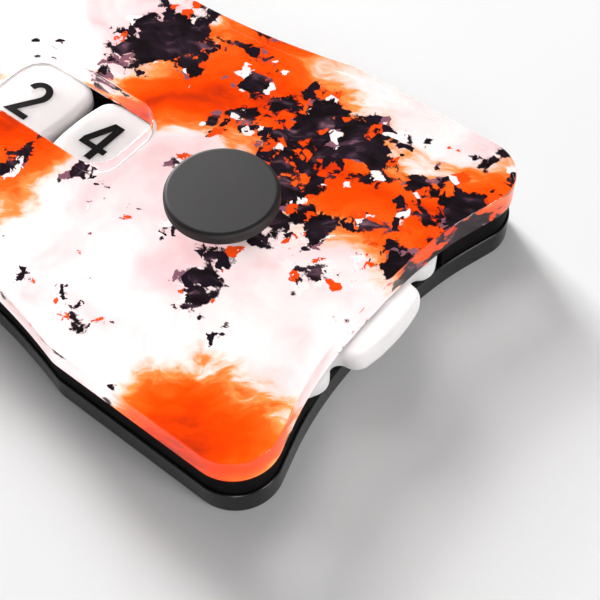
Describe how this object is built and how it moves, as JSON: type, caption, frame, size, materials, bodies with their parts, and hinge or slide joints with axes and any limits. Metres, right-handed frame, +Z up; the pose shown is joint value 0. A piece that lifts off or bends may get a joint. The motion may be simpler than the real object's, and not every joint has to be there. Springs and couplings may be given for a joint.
{
  "type": "life counter",
  "caption": "Flat tabletop life counter: lobed number dials turn in a layered case with a clear printed cover, a reading window and round pivot caps.",
  "frame": {"origin": "middle of the underside, on the surface that the counter lies on", "axes": "+X along the case from the left dial to the right dial, +Y towards the top of the digits, +Z up"},
  "size_m": [0.0864, 0.0456, 0.0101],
  "materials": {
    "black_acrylic": "cut from cast sheet, satin edges",
    "printed_film": "printed, matte",
    "clear_acrylic": "clear, polished",
    "white_abs": "moulded, satin",
    "matte_black_nylon": "moulded, fine matte texture",
    "zinc_steel": "zinc plated",
    "brass": "turned",
    "natural_nylon": "punched sheet",
    "spring_steel": "bright"
  },
  "bodies": {
    "case": {"base_plate": "black_acrylic", "spacer_near": "black_acrylic", "spacer_far": "black_acrylic", "printed_film": "printed_film", "top_cover": "clear_acrylic", "pivot_cap_left": "matte_black_nylon", "pivot_cap_right": "matte_black_nylon", "pivot_screw_left": "zinc_steel", "pivot_screw_right": "zinc_steel", "pivot_sleeve_left": "brass", "pivot_sleeve_right": "brass", "upper_washer_left": "natural_nylon", "upper_washer_right": "natural_nylon", "wave_washer_left": "spring_steel", "wave_washer_right": "spring_steel", "locating_pin_near_left": "spring_steel", "locating_pin_near_right": "spring_steel", "locating_pin_far_left": "spring_steel", "locating_pin_far_right": "spring_steel"},
    "left_dial": {"dial_left": "white_abs"},
    "right_dial": {"dial_right": "white_abs"}
  },
  "joints": [
    {"name": "left_dial_spin", "type": "hinge", "parent": "case", "child": "left_dial", "pos_m": [-0.0218, 0, 0.00435], "axis": [0, 0, 1], "continuous": true},
    {"name": "right_dial_spin", "type": "hinge", "parent": "case", "child": "right_dial", "pos_m": [0.0218, 0, 0.00435], "axis": [0, 0, 1], "continuous": true}
  ]
}
